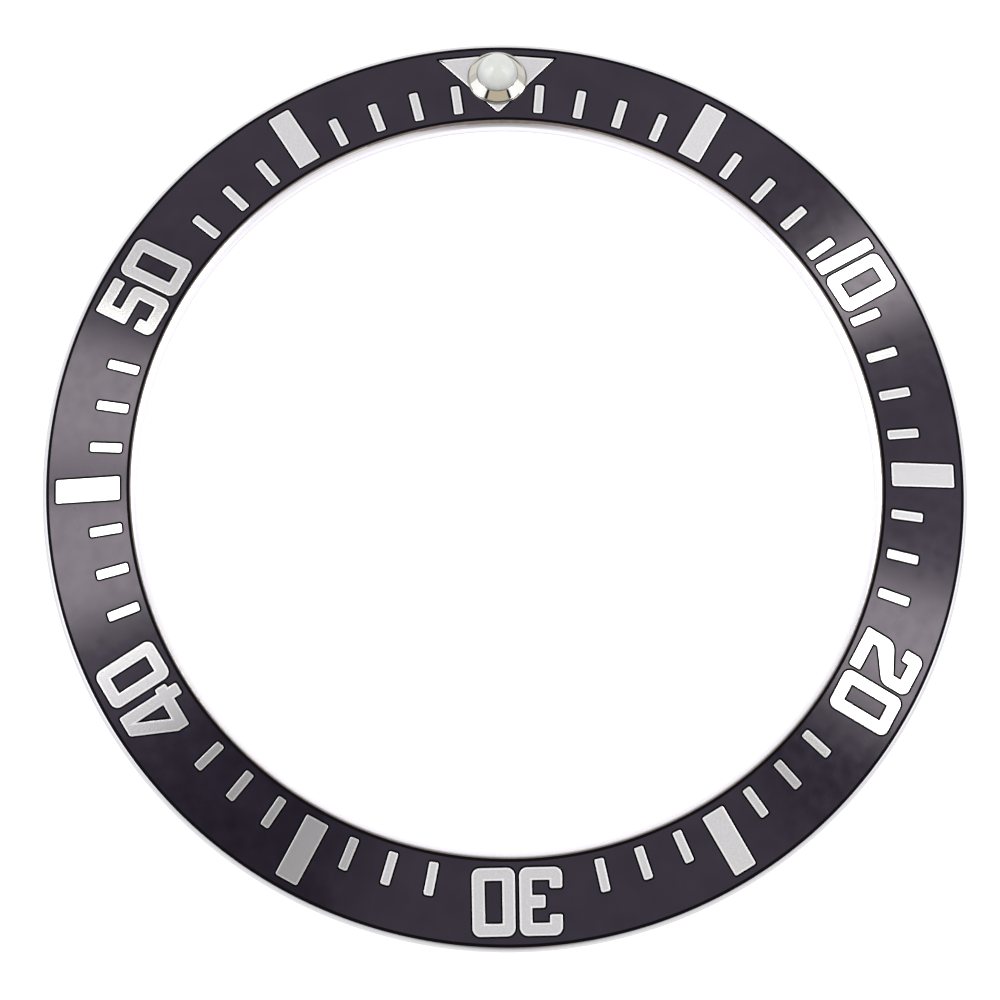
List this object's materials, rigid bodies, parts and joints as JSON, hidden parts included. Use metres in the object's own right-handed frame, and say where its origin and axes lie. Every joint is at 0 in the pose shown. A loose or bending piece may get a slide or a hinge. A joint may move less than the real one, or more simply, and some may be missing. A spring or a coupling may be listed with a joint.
{
  "type": "watch bezel insert",
  "caption": "Sloped ring insert for a rotating watch bezel, with an engraved, lacquer-filled minute scale and a domed pearl at the sixty mark.",
  "frame": {"origin": "on the ring's axis, in the plane of the flat seat on its back", "axes": "+Z along the axis out of the face, +Y towards the triangle and pearl at the sixty mark, +X towards the bar at fifteen"},
  "size_m": [0.038, 0.038, 0.0022],
  "materials": {
    "black_anodised_aluminium": "black anodised face, bare turned edges and back",
    "silver_lacquer": "silver lacquer in engraved pockets",
    "polished_plating": "turned brass, polished and white plated",
    "luminous_compound": "matt pressed compound",
    "opal_lacquer": "milky, glossy dome",
    "clear_cement": "cured clear cement"
  },
  "bodies": {
    "root": {"bar_05_fill": "silver_lacquer", "bar_15_fill": "silver_lacquer", "bar_25_fill": "silver_lacquer", "bar_35_fill": "silver_lacquer", "bar_45_fill": "silver_lacquer", "bar_55_fill": "silver_lacquer", "insert_ring": "black_anodised_aluminium", "minute_marks_00_to_05_fill": "silver_lacquer", "minute_marks_05_to_10_fill": "silver_lacquer", "minute_marks_10_to_15_fill": "silver_lacquer", "minute_marks_15_to_20_fill": "silver_lacquer", "minute_marks_20_to_25_fill": "silver_lacquer", "minute_marks_25_to_30_fill": "silver_lacquer", "minute_marks_30_to_35_fill": "silver_lacquer", "minute_marks_35_to_40_fill": "silver_lacquer", "minute_marks_40_to_45_fill": "silver_lacquer", "minute_marks_45_to_50_fill": "silver_lacquer", "minute_marks_50_to_55_fill": "silver_lacquer", "minute_marks_55_to_60_fill": "silver_lacquer", "numeral_10_one_fill": "silver_lacquer", "numeral_10_zero_fill": "silver_lacquer", "numeral_20_two_fill": "silver_lacquer", "numeral_20_zero_fill": "silver_lacquer", "numeral_30_three_fill": "silver_lacquer", "numeral_30_zero_fill": "silver_lacquer", "numeral_40_four_fill": "silver_lacquer", "numeral_40_zero_fill": "silver_lacquer", "numeral_50_five_fill": "silver_lacquer", "numeral_50_zero_fill": "silver_lacquer", "pearl_cement": "clear_cement", "pearl_dome": "opal_lacquer", "pearl_holder": "polished_plating", "pearl_lume": "luminous_compound", "triangle_fill": "silver_lacquer"}
  },
  "joints": []
}
